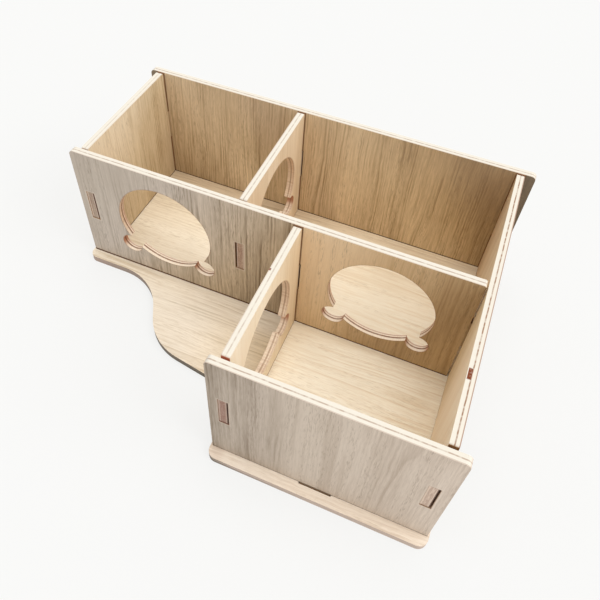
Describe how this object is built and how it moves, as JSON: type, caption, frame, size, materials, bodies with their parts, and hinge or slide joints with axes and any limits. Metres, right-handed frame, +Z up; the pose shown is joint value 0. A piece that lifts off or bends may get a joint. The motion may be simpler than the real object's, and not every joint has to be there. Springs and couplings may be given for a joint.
{
  "type": "wooden hamster house",
  "caption": "Open-topped wooden maze for a hamster: slotted plywood panels form three rooms and a porch, joined by round doorways with small side lobes.",
  "frame": {"origin": "middle of the base board's underside, under the middle of its length and depth", "axes": "+X to the right along the back wall, the longest side; +Y to the back, from the front wall to the back wall; +Z up"},
  "size_m": [0.2988, 0.2364, 0.1051],
  "materials": {
    "board_ply": "bare pale plywood, sanded, with fine straight grain",
    "grained_ply": "plywood faced on one side with a greyish oak-grained veneer, laser-cut edges",
    "plain_ply": "bare pale plywood, sanded, with laser-cut edges"
  },
  "bodies": {
    "root": {"base_board": "board_ply", "back_wall": "grained_ply", "middle_wall": "grained_ply", "front_wall": "grained_ply", "left_end_wall": "grained_ply", "right_end_wall": "grained_ply", "back_divider": "plain_ply", "porch_side_wall": "plain_ply"}
  },
  "joints": []
}
